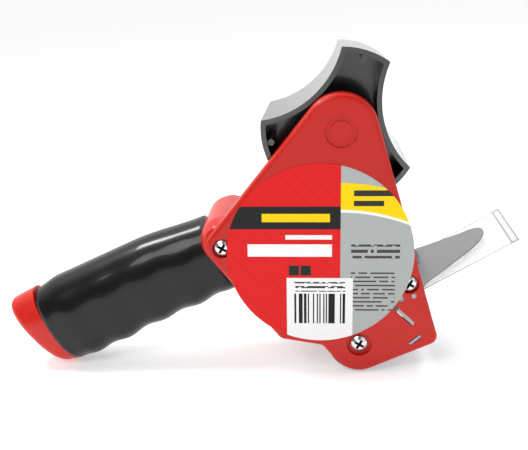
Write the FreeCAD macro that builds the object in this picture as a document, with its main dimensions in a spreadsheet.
import FreeCAD, Part
import math
import os
import Sketcher
from FreeCAD import Placement, Rotation, Vector

# Hand-held tape dispenser. Millimetres. The design frame has X towards the nose, Z up and Y from the
# near side plate's outer face across to the far plate, with the hub axis through X = 0, Z = 0.
# At the end every sub-part gets one common placement that stands the dispenser on its end cap
# and its roller.

driving = {
    # pressed side plates, given by the circles that their edges run round
    "plate_gauge": 1.2, "inside_width": 58.0, "flange_depth": 6.0, "flange_bend": 2.5,
    "top_radius": 17.4,
    "rear_x": -56.3, "rear_z": -56.5, "rear_radius": 8.2, "far_rear_radius": 10.0,
    "heel_x": -26.2, "heel_z": -99.0, "heel_radius": 5.0,
    "notch_x": -10.0, "notch_z": -109.8, "notch_radius": 3.0,
    "lobe_x": 9.6, "lobe_z": -105.9, "lobe_radius": 14.5,
    "nose_x": 42.5, "nose_z": -101.5, "nose_radius": 5.0,
    "front_x": 33.0, "front_z": -74.3, "far_front_radius": 6.5,
    "inner_x": -31.3, "inner_z": -63.1,
    "trim_rear_z": -87.7, "trim_front_z": -54.1, "trim_reach": 90.0,
    # screws and the dimples that they sit in
    "head_radius": 4.1, "head_height": 1.9, "shank_radius": 2.0, "shank_length": 12.0,
    "dimple_depth": 2.0, "seat_radius": 4.7, "ring_radius": 5.9, "cross_width": 1.3,
    "cross_length": 5.0, "cross_depth": 1.4, "rim_round": 0.55,
    # hub boss, axle and brake
    "dish_radius": 7.4, "dish_depth": 0.8, "rivet_radius": 4.9, "rivet_rise": 0.6,
    "collar_radius": 8.0, "axle_radius": 4.0, "thread_radius": 3.0, "thread_start": 46.0,
    "axle_end": 60.0, "flat_depth": 0.8, "running_gap": 0.06, "face_gap": 0.1,
    "thrust_thickness": 0.8, "thrust_radius": 7.5,
    "brake_thickness": 1.5, "brake_radius": 9.0, "pressure_thickness": 1.5, "pressure_radius": 9.5,
    "brake_coil_gap": 1.2, "brake_wire": 0.5, "brake_turns": 5.0, "brake_spring_length": 7.4,
    "knob_radius": 12.5, "knob_length": 14.5, "knob_lip": 3.5, "knob_pocket_radius": 7.2,
    "scallop_radius": 4.0, "scallop_offset": 14.6, "insert_radius": 5.0, "insert_length": 7.5,
    # drum that carries the roll
    "drum_start": 7.0, "drum_width": 50.5, "drum_radius": 37.3, "drum_rear_radius": 35.3,
    "waist_radius": 20.0, "waist_curve": 44.3, "drum_wall": 2.4, "drum_angle": 72.0,
    "web_start": 28.0, "web_thickness": 2.5, "tube_radius": 8.0, "tube_end": 40.0,
    "nub_radius": 1.6,
    # handle, measured in its own frame: x along the handle towards the nose
    "root_x": -62.0, "root_z": -68.0, "handle_angle": 24.0,
    "tang_short": 6.0, "tang_half_width": 13.4, "tang_half_height": 17.9, "tang_wall": 2.2,
    "tang_depth": 86.0, "tang_inside": 20.0, "neck_half_width": 15.4, "neck_half_height": 18.8,
    "neck_start": 3.0, "neck_length": 8.0, "neck_bulge": 2.4, "neck_blend": 7.0,
    "block_wall": 2.6, "boss_radius": 5.4,
    "shoulder_x": -44.5, "shoulder_z": -81.0, "shoulder_radius": 2.0,
    "inner_corner_x": -27.0, "inner_corner_z": -73.5, "inner_top_x": -31.5, "inner_top_z": -57.5,
    "inner_top_radius": 5.0, "fit_gap": 0.1,
    "sleeve_length": 98.0, "end_short": 2.3, "end_tilt": 5.6, "cap_top_reach": 4.5,
    "cap_top_z": 12.6, "cap_top_radius": 8.6,
    "foot_reach": 0.0, "foot_z": -18.4, "foot_radius": 4.0, "cap_half_width": 14.8, "cap_corner": 10.5,
    "plug_length": 10.0,
    # roller
    "roller_radius": 15.4, "roller_start": 3.5, "roller_width": 53.6, "tyre_thickness": 3.5,
    "roller_axle_radius": 4.0, "washer_thickness": 1.0, "washer_radius": 6.8,
    "roller_hub_radius": 6.5, "roller_rim": 1.5, "roller_recess": 5.0,
    # steel sheet parts across the nose
    "slot_width": 2.2, "sheet_gauge": 1.2, "slot_gap": 0.1,
    "holder_x": 26.0, "holder_z": -86.1, "holder_angle": -43.2, "holder_slot": 12.3,
    "holder_start": 2.3, "holder_length": 18.0, "holder_fold": 5.8,
    "blade_gauge": 0.6, "blade_start": 4.0, "blade_end": 27.5, "tooth_pitch": 3.2,
    "tooth_depth": 2.2, "tooth_count": 16.0, "rivet_shank": 1.5, "rivet_head": 2.6,
    "rivet_head_height": 0.9, "rivet_place": 8.0, "rivet_spacing": 36.0,
    "bar_x": 34.6, "bar_z": -104.9, "bar_angle": 41.5, "bar_slot": 5.1,
    "spacer_radius": 3.0,
    # tongue, measured in its own frame: x from the pin out along the tongue
    "pin_x": 35.3, "pin_z": -80.3, "pin_radius": 1.25, "tongue_angle": 30.3, "tongue_gauge": 0.7,
    "tongue_rise": 0.9, "tongue_start": 3.4, "tongue_root_half": 26.85, "tongue_tip_x": 30.3,
    "tongue_tip_radius": 13.2, "tongue_lift": 14.0, "curl_start": 33.0, "curl_rise": 1.0,
    "ear_radius": 1.9, "ear_gauge": 0.8, "ear_front": 7.0, "lug_x": -5.6, "lug_z": 2.1,
    "lug_radius": 0.8, "lug_edge": 0.5, "lug_gap": 0.25,
    "tongue_coil_gap": 0.25, "tongue_wire": 0.2, "tongue_turns": 9.5, "tongue_coil_length": 8.0,
    "leg_length": 7.6, "spring_leg_angle": 65.1,
    # tape leader and label
    "tape_width": 50.8, "leader_gauge": 0.25, "leader_drop": 2.15, "leader_start": 15.5,
    "leader_end": 56.0, "leader_fold": 4.0, "leader_fold_gauge": 0.6,
    "label_x": -9.6, "label_z": -59.1, "label_radius": 44.45, "label_gauge": 0.3,
}

doc = FreeCAD.newDocument("TapeDispenser")
sheet = doc.addObject("Spreadsheet::Sheet", "Sheet")


class Size:
    """A value together with the spreadsheet formula that it comes from."""

    def __init__(self, value, text):
        self.value = value
        self.text = text

    def joined(self, other, sign, value, swapped=False):
        texts = [self.text, textOf(other)]
        if swapped:
            texts.reverse()
        return Size(value, "(" + texts[0] + " " + sign + " " + texts[1] + ")")

    def __add__(self, other):
        return self.joined(other, "+", self.value + valueOf(other))

    def __radd__(self, other):
        return self.joined(other, "+", self.value + valueOf(other), True)

    def __sub__(self, other):
        return self.joined(other, "-", self.value - valueOf(other))

    def __rsub__(self, other):
        return self.joined(other, "-", valueOf(other) - self.value, True)

    def __mul__(self, other):
        return self.joined(other, "*", self.value * valueOf(other))

    def __rmul__(self, other):
        return self.joined(other, "*", self.value * valueOf(other), True)

    def __truediv__(self, other):
        return self.joined(other, "/", self.value / valueOf(other))

    def __neg__(self):
        return Size(-self.value, "(0 - " + self.text + ")")


def valueOf(size):
    return size.value if isinstance(size, Size) else float(size)


def textOf(size):
    return size.text if isinstance(size, Size) else "(" + repr(float(size)) + ")"


def cosOf(angle):
    return Size(math.cos(math.radians(angle.value)), "cos(" + angle.text + ")")


def sinOf(angle):
    return Size(math.sin(math.radians(angle.value)), "sin(" + angle.text + ")")


def bind(thing, path, size):
    """Drive one property of an object, or one constraint of a sketch, from the spreadsheet."""
    thing.setExpression(path, textOf(size))


for row, (name, value) in enumerate(driving.items(), 1):
    sheet.set("A%d" % row, name)
    sheet.set("B%d" % row, str(value))
    sheet.setAlias("B%d" % row, name)
doc.recompute()


class Dims:
    """Each driving dimension by name, so that D.plate_gauge is a Size."""

    def __getattr__(self, name):
        return Size(driving[name], "Sheet." + name)


D = Dims()


# Sketches

def wrap(sketch, discs):
    """Draw a closed outline, counterclockwise, round discs (x, z, radius) with tangent lines.

    A positive radius is an outward corner, a negative one an inward corner and 0 a sharp point.
    """
    count = len(discs)
    places = [(valueOf(x), valueOf(z), valueOf(r)) for x, z, r in discs]
    headings = []
    for i in range(count):
        ax, az, ar = places[i]
        bx, bz, br = places[(i + 1) % count]
        turn = math.asin((br - ar) / math.hypot(bx - ax, bz - az))
        headings.append(math.atan2(bz - az, bx - ax) - turn)

    def touch(i, heading):
        x, z, r = places[i]
        return Vector(x + r * math.sin(heading), z - r * math.cos(heading), 0)

    lines = []
    for i in range(count):
        start = touch(i, headings[i])
        end = touch((i + 1) % count, headings[i])
        lines.append(sketch.addGeometry(Part.LineSegment(start, end)))
    for i in range(count):
        x, z, r = places[i]
        before = lines[i - 1]
        after = lines[i]
        if r == 0:
            sketch.addConstraint(Sketcher.Constraint("Coincident", before, 2, after, 1))
            pin(sketch, after, 1, discs[i])
            continue
        first = headings[i - 1] - math.pi / 2
        last = headings[i] - math.pi / 2
        if r < 0:
            first, last = last + math.pi, first + math.pi
        while last <= first:
            last += 2 * math.pi
        circle = Part.Circle(Vector(x, z, 0), Vector(0, 0, 1), abs(r))
        arc = sketch.addGeometry(Part.ArcOfCircle(circle, first, last))
        ends = (1, 2) if r > 0 else (2, 1)
        sketch.addConstraint(Sketcher.Constraint("Tangent", before, 2, arc, ends[0]))
        sketch.addConstraint(Sketcher.Constraint("Tangent", arc, ends[1], after, 1))
        pin(sketch, arc, 3, discs[i])
        radius = sketch.addConstraint(Sketcher.Constraint("Radius", arc, abs(r)))
        bind(sketch, "Constraints[%d]" % radius, discs[i][2] if r > 0 else -discs[i][2])


def pin(sketch, geometry, point, place):
    """Hold one point of a sketch at a place given by two sizes."""
    for kind, size in (("DistanceX", place[0]), ("DistanceY", place[1])):
        index = sketch.addConstraint(Sketcher.Constraint(kind, -1, 1, geometry, point, valueOf(size)))
        bind(sketch, "Constraints[%d]" % index, size)


def circleIn(sketch, disc):
    """Draw a full circle for one disc (x, z, radius)."""
    x, z, r = [valueOf(part) for part in disc]
    circle = sketch.addGeometry(Part.Circle(Vector(x, z, 0), Vector(0, 0, 1), r))
    pin(sketch, circle, 3, disc)
    radius = sketch.addConstraint(Sketcher.Constraint("Radius", circle, r))
    bind(sketch, "Constraints[%d]" % radius, disc[2])


def draw(sketch, discs):
    if len(discs) == 1:
        circleIn(sketch, discs[0])
    else:
        wrap(sketch, discs)


def bodySketch(body, role, level, discs):
    """A sketch on one of the body's own planes, moved out to a level along that plane's axis."""
    plane = [item for item in body.Origin.OriginFeatures if item.Role == role][0]
    sketch = body.newObject("Sketcher::SketchObject", body.Label + "_sketch")
    sketch.AttachmentSupport = [(plane, "")]
    sketch.MapMode = "FlatFace"
    sign = -1 if role == "XZ_Plane" else 1
    bind(sketch, "AttachmentOffset.Base.z", sign * level if isinstance(level, Size) else zero)
    draw(sketch, discs)
    return sketch


def newBody(label):
    body = doc.addObject("PartDesign::Body", label)
    body.Label = label
    return body


def volumeOf(body):
    return body.Shape.Volume if body.Tip else 0.0


def added(body, kind, sketch, length, outward):
    """A Pad or a Pocket of a body, checked to have changed its volume the right way."""
    doc.recompute()
    before = volumeOf(body)
    feature = body.newObject("PartDesign::" + kind, body.Label + "_" + kind.lower())
    feature.Profile = sketch
    bind(feature, "Length", length)
    feature.Reversed = outward
    doc.recompute()
    grew = volumeOf(body) - before
    if (kind == "Pad") != (grew > 0) or abs(grew) < 1e-6:
        raise RuntimeError(body.Label + ": " + feature.Name + " changed the volume by %.4f" % grew)
    return feature


def pad(body, discs, low, high):
    """Add the outline's prism between two depths."""
    sketch = bodySketch(body, "XZ_Plane", low, discs)
    return added(body, "Pad", sketch, high - low, True)


def cut(body, discs, low, high):
    """Take away the outline's prism between two depths."""
    sketch = bodySketch(body, "XZ_Plane", low, discs)
    return added(body, "Pocket", sketch, high - low, False)


def padAlong(body, discs, low, high):
    """Add a prism along X; the discs are given in (y, z)."""
    sketch = bodySketch(body, "YZ_Plane", low, discs)
    return added(body, "Pad", sketch, high - low, False)


def cutAlong(body, discs, low, high):
    """Take away a prism along X; the discs are given in (y, z)."""
    sketch = bodySketch(body, "YZ_Plane", low, discs)
    return added(body, "Pocket", sketch, high - low, True)


def padUp(body, discs, low, high):
    """Add a prism along Z; the discs are given in (x, y)."""
    sketch = bodySketch(body, "XY_Plane", low, discs)
    return added(body, "Pad", sketch, high - low, False)


def turned(label, profile):
    """A body of revolution about its own Y axis, from (radius, y) corners."""
    body = newBody(label)
    sketch = bodySketch(body, "XY_Plane", 0, [(r, y, 0) for r, y in profile])
    spin = body.newObject("PartDesign::Revolution", label + "_turned")
    spin.Profile = sketch
    spin.ReferenceAxis = (sketch, ["V_Axis"])
    spin.Angle = 360
    doc.recompute()
    return body


def repeated(body, feature, kind, axis, count, reach):
    """Repeat a feature round or along an axis of the body."""
    lines = [item for item in body.Origin.OriginFeatures if item.Role == axis]
    pattern = body.newObject("PartDesign::" + kind, body.Label + "_pattern")
    pattern.Originals = [feature]
    if kind == "PolarPattern":
        pattern.Axis = (lines[0], [""])
        pattern.Angle = 360
    else:
        pattern.Direction = (lines[0], [""])
        bind(pattern, "Length", reach)
    bind(pattern, "Occurrences", count)
    body.Tip = pattern
    doc.recompute()
    return pattern


def roundedFront(body, radius):
    """Round the edges of the plate's outer face, the one at depth 0."""
    doc.recompute()
    names = []
    for index, edge in enumerate(body.Shape.Edges, 1):
        box = edge.BoundBox
        if abs(box.YMin) < 1e-4 and abs(box.YMax) < 1e-4:
            names.append("Edge%d" % index)
    flat = body.Tip
    fillet = body.newObject("PartDesign::Fillet", body.Label + "_bend")
    fillet.Base = (flat, names)
    bind(fillet, "Radius", radius)
    doc.recompute()


def roundedRims(body, radius):
    """Round the rims of the closed round recesses in the plate's outer face."""
    doc.recompute()
    names = []
    for index, edge in enumerate(body.Shape.Edges, 1):
        box = edge.BoundBox
        wide = box.XLength > 2 * driving["head_radius"]
        if wide and edge.isClosed() and abs(box.YMin) < 1e-4 and abs(box.YMax) < 1e-4:
            names.append("Edge%d" % index)
    sharp = body.Tip
    fillet = body.newObject("PartDesign::Fillet", body.Label + "_rims")
    fillet.Base = (sharp, names)
    bind(fillet, "Radius", radius)
    doc.recompute()


# Shared places

zero = Size(0, "0")
total_width = D.inside_width + 2 * D.plate_gauge
far_inside = total_width - D.plate_gauge
mid_y = total_width / 2
seat_back = D.plate_gauge + D.dimple_depth
tape_start = D.drum_start
tang_length = D.sleeve_length - D.tang_short
end_x = D.sleeve_length - D.end_short
cap_top_x = D.sleeve_length + D.cap_top_reach
foot_x = D.sleeve_length + D.foot_reach
screw_places = [(D.rear_x, D.rear_z), (D.front_x, D.front_z), (D.lobe_x, D.lobe_z), (D.inner_x, D.inner_z)]
heel = (D.heel_x, D.heel_z, D.heel_radius)
notch = (D.notch_x, D.notch_z, -D.notch_radius)
lobe = (D.lobe_x, D.lobe_z, D.lobe_radius)
nose = (D.nose_x, D.nose_z, D.nose_radius)
near_outline = [(zero, zero, D.top_radius), (D.rear_x, D.rear_z, D.rear_radius),
                heel, notch, lobe, nose]
far_outline = [(D.front_x, D.front_z, D.far_front_radius), (D.rear_x, D.rear_z, D.far_rear_radius),
               heel, notch, lobe, nose]


def inDesign(origin, angle, x, z):
    """A place given in a turned frame, in design coordinates."""
    return (origin[0] + x * cosOf(angle) - z * sinOf(angle),
            origin[1] + x * sinOf(angle) + z * cosOf(angle))


def inHandle(x, z):
    """A design place in the handle's own frame."""
    across = x - D.root_x
    up = z - D.root_z
    return (across * cosOf(D.handle_angle) + up * sinOf(D.handle_angle),
            up * cosOf(D.handle_angle) - across * sinOf(D.handle_angle))


def strip(origin, angle, start, end, low, high):
    """Corners of a rectangle that lies along a turned direction, as sharp discs."""
    corners = [(start, low), (end, low), (end, high), (start, high)]
    return [inDesign(origin, angle, x, z) + (0,) for x, z in corners]


pin_place = (D.pin_x, D.pin_z)
holder_place = (D.holder_x, D.holder_z)
bar_place = (D.bar_x, D.bar_z)
half_slot = D.slot_width / 2
holder_slot = [holder_place + (half_slot,),
               inDesign(holder_place, D.holder_angle, D.holder_slot, 0) + (half_slot,)]
bar_slot = [bar_place + (half_slot,), inDesign(bar_place, D.bar_angle, D.bar_slot, 0) + (half_slot,)]
lug_rest = inDesign(pin_place, D.tongue_angle, D.lug_x, D.lug_z)
lug_lifted = inDesign(pin_place, D.tongue_angle + D.tongue_lift, D.lug_x, D.lug_z)
lug_slot = [lug_rest + (D.lug_radius + D.lug_gap,), lug_lifted + (D.lug_radius + D.lug_gap,)]
pin_hole = [pin_place + (D.pin_radius,)]


# Side plates

def flipped(discs):
    """The same outline seen from the far side."""
    return [(-x, z, r) for x, z, r in reversed(discs)]


def asDrawn(discs):
    return discs


def plateHoles(body, side):
    """Screw dimples, cross slots, the lug slot and the pin hole, which both plates share."""
    for x, z in screw_places:
        seat = D.ring_radius if x is screw_places[2][0] else D.seat_radius
        pad(body, side([(x, z, seat + D.plate_gauge)]), D.plate_gauge, seat_back)
        cut(body, side([(x, z, seat)]), zero, D.dimple_depth)
        cut(body, side([(x, z, D.shank_radius + D.running_gap)]), zero, seat_back)
    for hole in (holder_slot, bar_slot, lug_slot):
        cut(body, side(hole), zero, D.plate_gauge)
    cut(body, side(pin_hole), zero, seat_back)


def makeSidePlate():
    body = newBody("side_plate")
    pad(body, near_outline, zero, D.flange_depth)
    roundedFront(body, D.flange_bend)
    inner = [(x, z, r - D.plate_gauge) for x, z, r in near_outline]
    cut(body, inner, D.plate_gauge, D.flange_depth)
    reach = D.trim_reach
    below = [(-reach, D.trim_rear_z, 0), (-reach, -2 * reach, 0), (reach, -2 * reach, 0),
             (reach, D.trim_front_z, 0)]
    cut(body, below, D.plate_gauge, D.flange_depth)
    centre = (zero, zero)
    pad(body, [centre + (D.dish_radius + D.plate_gauge,)], D.plate_gauge, D.plate_gauge + D.dish_depth)
    cut(body, [centre + (D.dish_radius,)], zero, D.dish_depth)
    pad(body, [centre + (D.rivet_radius,)], D.dish_depth - D.rivet_rise, D.dish_depth)
    plateHoles(body, asDrawn)
    roundedRims(body, D.rim_round)
    return body


def makeFarPlate():
    body = newBody("far_plate")
    pad(body, flipped(far_outline), zero, D.plate_gauge)
    roundedFront(body, D.plate_gauge / 3)
    plateHoles(body, flipped)
    roundedRims(body, D.rim_round)
    return body


# Hub

collar_start = D.plate_gauge + D.dish_depth
thrust_end = D.drum_start + D.thrust_thickness / 2
thrust_start = thrust_end - D.thrust_thickness
brake_start = D.tube_end + D.face_gap
pressure_start = brake_start + D.brake_thickness
spring_start = pressure_start + D.pressure_thickness
spring_end = spring_start + D.brake_spring_length
bore_radius = D.axle_radius + D.running_gap


def ring(label, outer, inner, low, high):
    return turned(label, [(inner, low), (outer, low), (outer, high), (inner, high)])


def makeHubAxle():
    body = turned("hub_axle", [
        (zero, collar_start), (D.collar_radius, collar_start), (D.collar_radius, thrust_start),
        (D.axle_radius, thrust_start), (D.axle_radius, D.thread_start),
        (D.thread_radius, D.thread_start), (D.thread_radius, D.axle_end), (zero, D.axle_end)])
    side = D.axle_radius - D.flat_depth
    wide = D.axle_radius * 2
    flat = [(-wide, side, 0), (wide, side, 0), (wide, wide, 0), (-wide, wide, 0)]
    cut(body, flat, D.tube_end, D.thread_start)
    return body


def makePressureWasher():
    body = newBody("pressure_washer")
    pad(body, [(zero, zero, D.pressure_radius)], pressure_start, spring_start)
    side = D.axle_radius - D.flat_depth + D.running_gap
    cut(body, [(zero, zero, bore_radius)], pressure_start, spring_start)
    wide = bore_radius
    key = [(-wide, side, 0), (wide, side, 0), (wide, wide, 0), (-wide, wide, 0)]
    pad(body, key, pressure_start, spring_start)
    return body


def cylinder(label, radius, low, high, x, z):
    """A Part cylinder along Y, for booleans in the design frame."""
    shape = doc.addObject("Part::Cylinder", label)
    bind(shape, "Radius", radius)
    bind(shape, "Height", high - low)
    shape.Placement = Placement(Vector(), Rotation(Vector(1, 0, 0), -90))
    bind(shape, "Placement.Base.x", x)
    bind(shape, "Placement.Base.y", low)
    bind(shape, "Placement.Base.z", z)
    return shape


def cone(label, first, second, low, high):
    shape = doc.addObject("Part::Cone", label)
    bind(shape, "Radius1", first)
    bind(shape, "Radius2", second)
    bind(shape, "Height", high - low)
    shape.Placement = Placement(Vector(), Rotation(Vector(1, 0, 0), -90))
    bind(shape, "Placement.Base.y", low)
    return shape


def fused(label, shapes):
    result = doc.addObject("Part::MultiFuse", label)
    result.Shapes = shapes
    return result


def common(label, shapes):
    result = doc.addObject("Part::MultiCommon", label)
    result.Shapes = shapes
    return result


def less(label, base, tool):
    result = doc.addObject("Part::Cut", label)
    result.Base = base
    result.Tool = tool
    return result


def drumSolid(label, inset, low, high):
    """The drum's three-lobed outline as a tapered solid, drawn in by an inset."""
    drum_end = D.drum_start + D.drum_width
    body = cone(label + "_cone", D.drum_radius - inset, D.drum_rear_radius - inset, D.drum_start, drum_end)
    span = cylinder(label + "_span", D.drum_radius, low, high, zero, zero)
    waists = []
    centre = D.waist_radius + D.waist_curve
    for index in range(3):
        angle = D.drum_angle + (60 + 120 * index)
        waists.append(cylinder("%s_waist_%d" % (label, index), D.waist_curve + inset,
                               D.drum_start - 1, drum_end + 1, centre * cosOf(angle), centre * sinOf(angle)))
    lobed = less(label + "_lobed", body, fused(label + "_waists", waists))
    return common(label, [lobed, span])


def makeDrum():
    drum_end = D.drum_start + D.drum_width
    web_end = D.web_start + D.web_thickness
    outside = drumSolid("drum_outside", zero, D.drum_start, drum_end)
    front = drumSolid("drum_front", D.drum_wall, D.drum_start - 1, D.web_start)
    rear = drumSolid("drum_rear", D.drum_wall, web_end, drum_end + 1)
    shell = less("drum_shell", outside, fused("drum_hollows", [front, rear]))
    solids = [shell, cylinder("drum_tube", D.tube_radius, thrust_end + D.face_gap, D.tube_end, zero, zero)]
    reach = D.drum_rear_radius - D.drum_wall + D.nub_radius / 4
    for index in range(3):
        angle = D.drum_angle + 120 * index
        solids.append(cylinder("drum_nub_%d" % index, D.nub_radius, D.drum_start + D.drum_wall,
                               D.web_start, reach * cosOf(angle), reach * sinOf(angle)))
    whole = fused("drum_whole", solids)
    bore = cylinder("drum_bore", bore_radius, D.drum_start - 1, D.tube_end + 1, zero, zero)
    return less("hub_drum", whole, bore)


def coil(radius, wire, length, turns):
    """A plain coil spring of round wire about Y, starting at depth 0."""
    spine = Part.makeHelix((length - 2 * wire) / turns, length - 2 * wire, radius)
    section = Part.Wire([Part.makeCircle(wire, Vector(radius, 0, 0), Vector(0, 1, 0))])
    shape = Part.Wire(spine.Edges).makePipeShell([section], True, True)
    shape.translate(Vector(0, 0, wire))
    shape.rotate(Vector(), Vector(1, 0, 0), -90)
    return shape


def makeBrakeSpring():
    spring = doc.addObject("Part::Feature", "brake_spring")
    shape = coil(driving["axle_radius"] + driving["brake_coil_gap"], driving["brake_wire"],
                 driving["brake_spring_length"] - 2 * driving["face_gap"], driving["brake_turns"])
    shape.translate(Vector(0, spring_start.value + driving["face_gap"], 0))
    spring.Shape = shape
    return spring


def makeKnob():
    body = newBody("tension_knob")
    knob_start = spring_end - D.knob_lip
    knob_end = knob_start + D.knob_length
    pad(body, [(zero, zero, D.knob_radius)], knob_start, knob_end)
    scallop = cut(body, [(D.scallop_offset, zero, D.scallop_radius)], knob_start, knob_end)
    repeated(body, scallop, "PolarPattern", "Y_Axis", Size(6, "6"), zero)
    cut(body, [(zero, zero, D.knob_pocket_radius)], knob_start, spring_end)
    cut(body, [(zero, zero, D.insert_radius)], spring_end, spring_end + D.insert_length)
    cut(body, [(zero, zero, D.thread_radius + 4 * D.running_gap)], spring_end, knob_end)
    return body


# Handle

def racetrack(half_width, low, high):
    """A section across the handle with round top and bottom, in (y, z)."""
    return [(zero, high - half_width, half_width), (zero, low + half_width, half_width)]


def makeHandleCore():
    body = newBody("handle_core")
    padAlong(body, racetrack(D.tang_half_width, -D.tang_half_height, D.tang_half_height),
             -tang_length, D.tang_inside)
    padAlong(body, racetrack(D.neck_half_width, -D.neck_half_height, D.neck_half_height - 1.5),
             D.neck_start, D.neck_length)
    near = D.flange_depth + 3 * D.fit_gap - mid_y
    far = far_inside - mid_y
    radius = D.far_rear_radius - 4 * D.fit_gap
    corners = [(D.inner_top_x, D.inner_top_z, D.inner_top_radius), (D.rear_x, D.rear_z, radius),
               (D.shoulder_x, D.shoulder_z, D.shoulder_radius),
               (D.inner_corner_x, D.inner_corner_z, D.shoulder_radius)]
    block = [inHandle(x, z) + (r,) for x, z, r in corners]
    pad(body, block, near, far)
    wide = [(x, z, r + D.neck_bulge) if r is radius else (x, z, r) for x, z, r in block]
    levels = [(near, block), (near + D.neck_blend, wide), (far - D.neck_blend, wide), (far, block)]
    swell = body.newObject("PartDesign::AdditiveLoft", "neck_swell")
    sketches = [bodySketch(body, "XZ_Plane", level, discs) for level, discs in levels]
    swell.Profile = sketches[0]
    swell.Sections = sketches[1:]
    swell.Ruled = True
    doc.recompute()
    rear_boss = inHandle(D.rear_x, D.rear_z)
    inner_boss = inHandle(D.inner_x, D.inner_z)
    wall = D.block_wall
    hollow_edge = rear_boss[0] + D.boss_radius
    inner_edge = inner_boss[0] - D.boss_radius
    hollow = [(hollow_edge, -D.tang_half_height + wall, 0), (inner_edge, -D.neck_half_height / 2, 0),
              (inner_edge, D.neck_half_height / 2 - wall, 0), (hollow_edge, D.neck_half_height / 2, 0)]
    cut(body, hollow, near, far - wall)
    for x, z in (rear_boss, inner_boss):
        pad(body, [(x, z, D.boss_radius)], seat_back - mid_y, near)
        cut(body, [(x, z, D.seat_radius + D.plate_gauge + D.fit_gap)], far - D.dimple_depth, far)
        cut(body, [(x, z, D.shank_radius)], seat_back - mid_y, seat_back - mid_y + D.shank_length)
        depth = D.shank_length + D.dimple_depth
        cut(body, [(x, z, D.shank_radius)], far - depth, far)
    cutAlong(body, racetrack(D.tang_half_width - D.tang_wall, D.tang_wall - D.tang_half_height,
                             D.tang_half_height - D.tang_wall), -tang_length, D.tang_depth - tang_length)
    return body


def slanted(start, end):
    """A tall strip beside the slanted line where the sleeve ends and the cap begins."""
    reach = 2 * D.tang_half_height
    return strip((-end_x, zero), D.end_tilt, start, end, -reach, reach)


def makeSleeve():
    """Rubber sleeve: a loft through sections (distance back, half width, low, high)."""
    body = newBody("grip_sleeve")
    sections = [(-2.6, 15.8, -19.6, 18.8), (5.0, 16.8, -20.8, 20.6), (36.0, 17.0, -21.3, 22.4),
                (72.0, 17.5, -23.0, 22.0), (91.0, 17.4, -23.2, 21.0), (97.6, 16.4, -22.4, 19.4)]
    share = D.sleeve_length / 98.0     # the sections were chosen for a 98 mm sleeve
    taller = D.tang_half_height - 17.9
    wider = D.tang_half_width - 13.4
    sketches = []
    for back, half_width, low, high in sections:
        discs = racetrack(half_width + wider, low - taller, high + taller)
        sketches.append(bodySketch(body, "YZ_Plane", -(back * share), discs))
    loft = body.newObject("PartDesign::AdditiveLoft", "sleeve_loft")
    loft.Profile = sketches[0]
    loft.Sections = sketches[1:]
    doc.recompute()
    gap = D.fit_gap / 2
    cutAlong(body, racetrack(D.tang_half_width + gap, -D.tang_half_height - gap, D.tang_half_height + gap),
             -D.sleeve_length, D.neck_length)
    cut(body, slanted(-D.plug_length, 0), -mid_y, mid_y)
    swell = D.far_rear_radius + D.neck_bulge
    shoulder = inHandle(D.shoulder_x, D.shoulder_z) + (D.shoulder_radius,)
    cut(body, [inHandle(D.rear_x, D.rear_z) + (swell,), shoulder], -mid_y, mid_y)
    return body


def looseExtrusion(label, role, level, discs, length):
    """A sketch outside any body, extruded, for the boolean pieces."""
    turns = {"XZ": Rotation(Vector(1, 0, 0), 90),
             "XY": Rotation(),
             "YZ": Rotation(Vector(0, 1, 0), Vector(0, 0, 1), Vector(1, 0, 0), "XYZ")}
    axes = {"XZ": "y", "XY": "z", "YZ": "x"}
    sketch = doc.addObject("Sketcher::SketchObject", label + "_sketch")
    sketch.Placement = Placement(Vector(), turns[role])
    bind(sketch, "Placement.Base." + axes[role], level)
    draw(sketch, discs)
    solid = doc.addObject("Part::Extrusion", label)
    solid.Base = sketch
    solid.DirMode = "Normal"
    solid.Solid = True
    bind(solid, "LengthFwd", length)
    return solid


def makeEndCap():
    top = D.cap_top_z + D.cap_top_radius
    bottom = D.foot_z - D.foot_radius
    front = tang_length - D.plug_length
    profile = [(-front, top, 0), (-cap_top_x, D.cap_top_z, D.cap_top_radius),
               (-foot_x, D.foot_z, D.foot_radius), (-front, bottom, 0)]
    side = looseExtrusion("cap_side", "XZ", D.cap_half_width, profile, 2 * D.cap_half_width)
    back = -(cap_top_x + D.cap_top_radius)
    across = looseExtrusion("cap_across", "YZ", back - 1, racetrack(D.cap_half_width, bottom, top),
                            cap_top_x + D.cap_top_radius + 1)
    end = cap_top_x + D.cap_top_radius - D.cap_corner
    side_y = D.cap_half_width - D.cap_corner
    plan = [(-front, -D.cap_half_width, 0), (-front, D.cap_half_width, 0),
            (-end, side_y, D.cap_corner), (-end, -side_y, D.cap_corner)]
    over = looseExtrusion("cap_plan", "XY", bottom - 1, plan, top - bottom + 2)
    inside = D.tang_wall + D.fit_gap / 2
    plug = looseExtrusion("cap_plug", "YZ", -D.sleeve_length,
                          racetrack(D.tang_half_width - inside, inside - D.tang_half_height,
                                    D.tang_half_height - inside), D.sleeve_length - front)
    ahead = looseExtrusion("cap_ahead", "XZ", mid_y, slanted(zero, 2 * D.plug_length), 2 * mid_y)
    shell = less("cap_shell", common("cap_rounded", [side, across, over]), ahead)
    return fused("end_cap", [shell, plug])


# Screws

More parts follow.
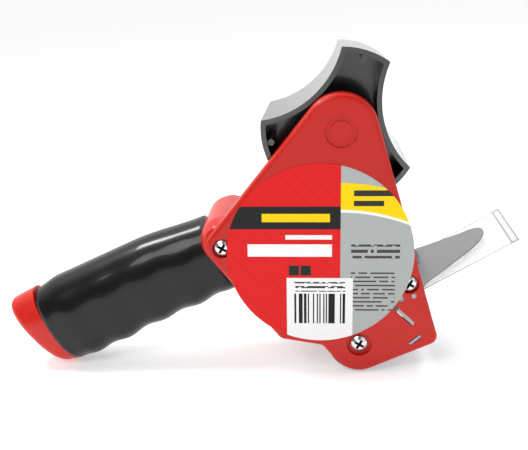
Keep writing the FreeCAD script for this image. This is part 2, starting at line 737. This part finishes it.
def makeScrews():
    """Eight identical pan-head screws, four from each side, as separate solids in one group."""
    screw = turned("screw_pattern", [
        (zero, -D.head_height), (D.head_radius * 0.62, -D.head_height),
        (D.head_radius, -D.head_height * 0.45), (D.head_radius, zero),
        (D.shank_radius, zero), (D.shank_radius, D.shank_length - 0.5),
        (D.shank_radius - 0.5, D.shank_length - 0.1), (zero, D.shank_length - 0.1)])
    long = D.cross_length / 2
    half = D.cross_width / 2
    for a, b in ((long, half), (half, long)):
        arm = [(-a, -b, 0), (a, -b, 0), (a, b, 0), (-a, b, 0)]
        cut(screw, arm, -D.head_height, D.cross_depth - D.head_height)
    copies = []
    for x, z in screw_places:
        near = screw.Shape.copy()
        near.rotate(Vector(), Vector(0, 1, 0), 30)
        near.translate(Vector(x.value, driving["dimple_depth"], z.value))
        far = screw.Shape.copy()
        far.rotate(Vector(), Vector(0, 0, 1), 180)
        far.translate(Vector(x.value, total_width.value - driving["dimple_depth"], z.value))
        copies += [near, far]
    group = doc.addObject("Part::Feature", "frame_screws")
    group.Shape = Part.makeCompound(copies)
    return group


def makeSpacer(label, radius):
    """A round bar between the two plates, bored at each end for its screws."""
    body = turned(label, [(zero, seat_back), (radius, seat_back),
                          (radius, total_width - seat_back), (zero, total_width - seat_back)])
    cut(body, [(zero, zero, D.shank_radius)], seat_back, D.shank_length + D.dimple_depth)
    cut(body, [(zero, zero, D.shank_radius)], total_width - D.shank_length - D.dimple_depth,
        total_width - seat_back)
    return body


# Roller

roller_end = D.roller_start + D.roller_width


def makeRollerCore():
    low = seat_back + D.washer_thickness + D.face_gap
    high = total_width - low
    bore = D.roller_axle_radius + D.running_gap
    outer = D.roller_radius - D.tyre_thickness
    inner = outer - D.roller_rim
    near_web = D.roller_start + D.roller_recess
    far_web = roller_end - D.roller_recess
    edge = D.roller_start + 0.6
    far_edge = roller_end - 0.6
    hub = D.roller_hub_radius
    return turned("roller_core", [
        (bore, low), (hub, low), (hub, near_web), (inner, near_web), (inner, edge), (outer, edge),
        (outer, far_edge), (inner, far_edge), (inner, far_web), (hub, far_web), (hub, high), (bore, high)])


def makeRollerWashers():
    """Two plain washers that keep the roller off the plates."""
    shapes = []
    for low in (seat_back.value, total_width.value - seat_back.value - driving["washer_thickness"]):
        disc = Part.makeCylinder(driving["washer_radius"], driving["washer_thickness"],
                                 Vector(0, low, 0), Vector(0, 1, 0))
        hole = Part.makeCylinder(driving["roller_axle_radius"] + driving["running_gap"],
                                 driving["washer_thickness"], Vector(0, low, 0), Vector(0, 1, 0))
        shapes.append(disc.cut(hole))
    washers = doc.addObject("Part::Feature", "roller_washers")
    washers.Shape = Part.makeCompound(shapes)
    return washers


# Sheet parts in the nose

half_sheet = D.sheet_gauge / 2


def tabs(body, place, angle, start, end):
    """Tabs of a cross sheet that reach through both plates."""
    tab = strip(place, angle, start, end, -half_sheet, half_sheet)
    pad(body, tab, D.face_gap, total_width - D.face_gap)


def makeBladeHolder():
    body = newBody("blade_holder")
    sheet_side = strip(holder_place, D.holder_angle, D.holder_start, D.holder_length, -half_sheet, half_sheet)
    pad(body, sheet_side, D.plate_gauge, far_inside)
    tabs(body, holder_place, D.holder_angle, D.holder_start, D.holder_slot + half_slot - 2 * D.slot_gap)
    top = -(D.leader_drop + D.leader_gauge / 2)
    fold = strip(pin_place, D.tongue_angle, -D.leader_start, D.holder_fold - D.leader_start,
                 top - D.sheet_gauge, top)
    pad(body, fold, D.plate_gauge, far_inside)
    return body


def makeBlade():
    """Toothed strip, drawn flat in the holder's frame: x down the holder, z out of its face."""
    body = newBody("blade")
    width = D.tooth_count * D.tooth_pitch
    near = tape_start + (D.tape_width - width) / 2
    low = half_sheet
    high = half_sheet + D.blade_gauge
    outline = [(D.blade_start, near, 0), (D.blade_end, near, 0), (D.blade_end, near + width, 0),
               (D.blade_start, near + width, 0)]
    padUp(body, outline, low, high)
    tip = D.blade_end
    gullet = [(tip + 0.2, near - D.tooth_pitch / 2, 0), (tip + 0.2, near + D.tooth_pitch / 2, 0),
              (tip - D.tooth_depth, near, 0)]
    sketch = bodySketch(body, "XY_Plane", low, gullet)
    first = added(body, "Pocket", sketch, D.blade_gauge, True)
    repeated(body, first, "LinearPattern", "Y_Axis", D.tooth_count + 1, width)
    for sign in (-1, 1):
        sketch = bodySketch(body, "XY_Plane", low, [(D.rivet_place, mid_y + sign * D.rivet_spacing / 2,
                                                     D.rivet_shank)])
        added(body, "Pocket", sketch, D.blade_gauge, True)
    return body


def makeBladeRivets():
    """Two flat-head rivets through the blade and its holder, in the holder's frame."""
    shapes = []
    low = -half_sheet.value
    top = half_sheet.value + driving["blade_gauge"]
    for sign in (-1, 1):
        y = mid_y.value + sign * driving["rivet_spacing"] / 2
        shank = Part.makeCylinder(driving["rivet_shank"], top - low, Vector(driving["rivet_place"], y, low))
        head = Part.makeCylinder(driving["rivet_head"], driving["rivet_head_height"],
                                 Vector(driving["rivet_place"], y, top))
        shapes.append(shank.fuse(head))
    rivets = doc.addObject("Part::Feature", "blade_rivets")
    rivets.Shape = Part.makeCompound(shapes)
    return rivets


def drillHolder(holder):
    """Rivet holes through the holder's sheet, square to its face."""
    holes = []
    for sign in (-1, 1):
        y = mid_y + sign * D.rivet_spacing / 2
        hole = doc.addObject("Part::Cylinder", "rivet_hole")
        bind(hole, "Radius", D.rivet_shank)
        bind(hole, "Height", 3 * D.sheet_gauge)
        place = Placement(Vector(), Rotation(Vector(0, 1, 0), -driving["holder_angle"]))
        hole.Placement = place
        x, z = inDesign(holder_place, D.holder_angle, D.rivet_place, -1.5 * D.sheet_gauge)
        bind(hole, "Placement.Base.x", x)
        bind(hole, "Placement.Base.y", y)
        bind(hole, "Placement.Base.z", z)
        holes.append(hole)
    holder.Label = "holder_sheet"
    result = less("blade_holder_drilled", holder, fused("rivet_holes", holes))
    result.Label = "blade_holder"
    return result


def makeGuideBar():
    body = newBody("guide_bar")
    reach = half_slot - 2 * D.slot_gap
    side = strip(bar_place, D.bar_angle, -reach, D.bar_slot + reach, -half_sheet, half_sheet)
    pad(body, side, D.plate_gauge, far_inside)
    tabs(body, bar_place, D.bar_angle, -reach + D.slot_gap, D.bar_slot + reach - D.slot_gap)
    return body


# Tongue

def makeTongue():
    """Guide tongue in its own frame: a tapered sheet with a lifted tip and two ears on the pin."""
    top = D.tongue_rise + D.tongue_gauge / 2
    low = top - D.tongue_gauge
    tip = D.tongue_tip_x + D.tongue_tip_radius
    side = [(D.tongue_start, low, 0), (D.curl_start, low, 0), (tip + 1, low + D.curl_rise, 0),
            (tip + 1, top + D.curl_rise, 0), (D.curl_start, top, 0), (D.tongue_start, top, 0)]
    profile = looseExtrusion("tongue_side", "XZ", mid_y + D.tongue_root_half, side, 2 * D.tongue_root_half)
    plan = [(D.tongue_start, mid_y - D.tongue_root_half, 0), (D.tongue_tip_x, mid_y, D.tongue_tip_radius),
            (D.tongue_start, mid_y + D.tongue_root_half, 0)]
    over = looseExtrusion("tongue_plan", "XY", Size(-10, "-10"), plan, Size(20, "20"))
    pieces = [common("tongue_sheet", [profile, over])]
    ear = [(D.lug_x, D.lug_z, D.lug_radius + D.lug_edge), (zero, zero, D.ear_radius),
           (D.ear_front, D.tongue_rise, D.tongue_gauge / 2)]
    near_face = mid_y - D.tongue_root_half
    far_face = mid_y + D.tongue_root_half
    lug = [(D.lug_x, D.lug_z, D.lug_radius)]
    pieces.append(looseExtrusion("ear_near", "XZ", near_face + D.ear_gauge, ear, D.ear_gauge))
    pieces.append(looseExtrusion("ear_far", "XZ", far_face, ear, D.ear_gauge))
    pieces.append(looseExtrusion("lug_near", "XZ", near_face + D.ear_gauge / 2, lug,
                                 near_face + D.ear_gauge / 2 - D.face_gap))
    pieces.append(looseExtrusion("lug_far", "XZ", total_width - D.face_gap, lug,
                                 total_width - D.face_gap - far_face + D.ear_gauge / 2))
    hole = looseExtrusion("pin_bore", "XZ", total_width,
                          [(zero, zero, D.pin_radius + D.running_gap)], total_width)
    return less("tongue", fused("tongue_whole", pieces), hole)


def makeTonguePin():
    end = total_width - D.face_gap
    return turned("tongue_pin", [(zero, D.face_gap), (D.pin_radius, D.face_gap), (D.pin_radius, end),
                                 (zero, end)])


def makeTongueSpring():
    """Torsion spring on the pin: one leg up past the spacer, a coil and one leg on the tongue."""
    wire = driving["tongue_wire"]
    radius = driving["pin_radius"] + driving["tongue_coil_gap"]
    length = driving["tongue_coil_length"]
    angle = driving["spring_leg_angle"]
    start = mid_y.value - length / 2
    body = coil(radius, wire, length, driving["tongue_turns"] + angle / 360)
    body.rotate(Vector(), Vector(0, 1, 0), 90 - angle)
    body.translate(Vector(0, start, 0))
    rise = math.radians(angle)
    upper = Vector(radius * math.sin(rise), start + wire, -radius * math.cos(rise))
    lower = Vector(0, start + length - wire, radius)
    legs = []
    for place, heading in ((upper, Vector(math.cos(rise), 0, math.sin(rise))), (lower, Vector(1, 0, 0))):
        legs.append(Part.makeSphere(wire, place))
        legs.append(Part.makeCylinder(wire, driving["leg_length"], place, heading))
    spring = doc.addObject("Part::Feature", "tongue_spring")
    spring.Shape = body.multiFuse(legs)
    return spring


def makeLeader():
    """Clear tape leader below the tongue, its end folded back on itself."""
    body = newBody("tape_leader")
    low = -D.leader_drop - D.leader_gauge / 2
    high = low + D.leader_gauge
    fold = D.leader_end - D.leader_fold
    thick = low + D.leader_fold_gauge
    outline = [(-D.leader_start, low, 0), (D.leader_end, low, 0), (D.leader_end, thick, 0),
               (fold, thick, 0), (fold, high, 0), (-D.leader_start, high, 0)]
    pad(body, outline, tape_start, tape_start + D.tape_width)
    return body


# The whole dispenser

design = Placement()
at_hub = Placement()
at_roller = Placement(Vector(driving["lobe_x"], 0, driving["lobe_z"]), Rotation())
at_front = Placement(Vector(driving["front_x"], 0, driving["front_z"]), Rotation())
at_pin = Placement(Vector(driving["pin_x"], 0, driving["pin_z"]), Rotation())
handle_frame = Placement(Vector(driving["root_x"], mid_y.value, driving["root_z"]),
                         Rotation(Vector(0, 1, 0), -driving["handle_angle"]))
tongue_frame = Placement(Vector(driving["pin_x"], 0, driving["pin_z"]),
                         Rotation(Vector(0, 1, 0), -driving["tongue_angle"]))
holder_frame = Placement(Vector(driving["holder_x"], 0, driving["holder_z"]),
                         Rotation(Vector(0, 1, 0), -driving["holder_angle"]))
far_frame = Placement(Vector(0, total_width.value, 0), Rotation(Vector(0, 0, 1), 180))

knob_bore = D.thread_radius + D.running_gap
subparts = [
    (makeSidePlate(), design),
    (makeFarPlate(), far_frame),
    (makeHubAxle(), at_hub),
    (ring("thrust_washer", D.thrust_radius, bore_radius, thrust_start, thrust_end), at_hub),
    (makeDrum(), at_hub),
    (ring("brake_washer", D.brake_radius, bore_radius, brake_start, pressure_start), at_hub),
    (makePressureWasher(), at_hub),
    (makeBrakeSpring(), at_hub),
    (makeKnob(), at_hub),
    (ring("knob_insert", D.insert_radius, knob_bore, spring_end, spring_end + D.insert_length), at_hub),
    (makeHandleCore(), handle_frame),
    (makeSleeve(), handle_frame),
    (makeEndCap(), handle_frame),
    (makeScrews(), design),
    (makeSpacer("front_spacer", D.spacer_radius), at_front),
    (makeSpacer("roller_axle", D.roller_axle_radius), at_roller),
    (makeRollerCore(), at_roller),
    (ring("roller_tyre", D.roller_radius, D.roller_radius - D.tyre_thickness, D.roller_start, roller_end),
     at_roller),
    (makeRollerWashers(), at_roller),
    (drillHolder(makeBladeHolder()), design),
    (makeBlade(), holder_frame),
    (makeBladeRivets(), holder_frame),
    (makeGuideBar(), design),
    (makeTongue(), tongue_frame),
    (makeTonguePin(), at_pin),
    (makeTongueSpring(), tongue_frame),
    (makeLeader(), tongue_frame),
]
label_body = newBody("label_disc")
pad(label_body, [(D.label_x, D.label_z, D.label_radius)], -D.label_gauge, zero)
subparts.append((label_body, design))
doc.recompute()

# The dispenser stands on the round foot of its end cap and on its roller: turn it about Y until the
# line under both is level, lift it to Z = 0 and centre it over the origin.
foot = handle_frame.multVec(Vector(-foot_x.value, -mid_y.value, driving["foot_z"]))
across = driving["lobe_x"] - foot.x
rise = driving["lobe_z"] - foot.z
gain = driving["roller_radius"] - driving["foot_radius"]
lean = math.atan2(rise, across) - math.asin(gain / math.hypot(across, rise))
turn = Rotation(Vector(0, 1, 0), math.degrees(lean))
box = FreeCAD.BoundBox()
for part, place in subparts:
    posed = part.Shape.copy()
    own = Placement() if part.isDerivedFrom("PartDesign::Body") else part.Placement
    posed.Placement = Placement(Vector(), turn).multiply(place).multiply(own)
    box.add(posed.optimalBoundingBox())
roller_low = turn.multVec(Vector(driving["lobe_x"], 0, driving["lobe_z"])).z - driving["roller_radius"]
stand = Placement(Vector(-box.Center.x, -box.Center.y, -roller_low), turn)
for part, place in subparts:
    own = Placement() if part.isDerivedFrom("PartDesign::Body") else part.Placement
    part.Placement = stand.multiply(place).multiply(own)
doc.recompute()

print("lean %.3f degrees, stand at %s" % (math.degrees(lean), stand.Base))
for item in doc.Objects:
    if "Invalid" in item.State or "Error" in item.State:
        raise RuntimeError(item.Label + " failed: " + str(item.State))
os.makedirs("parts", exist_ok=True)
for part, place in subparts:
    shape = part.Shape
    if shape.isNull() or not shape.isValid() or shape.Volume <= 0:
        raise RuntimeError(part.Label + " has no valid solid")
    print("%-16s solids %2d  volume %10.1f" % (part.Label, len(shape.Solids), shape.Volume))
    shape.exportStep("parts/" + part.Label + ".step")
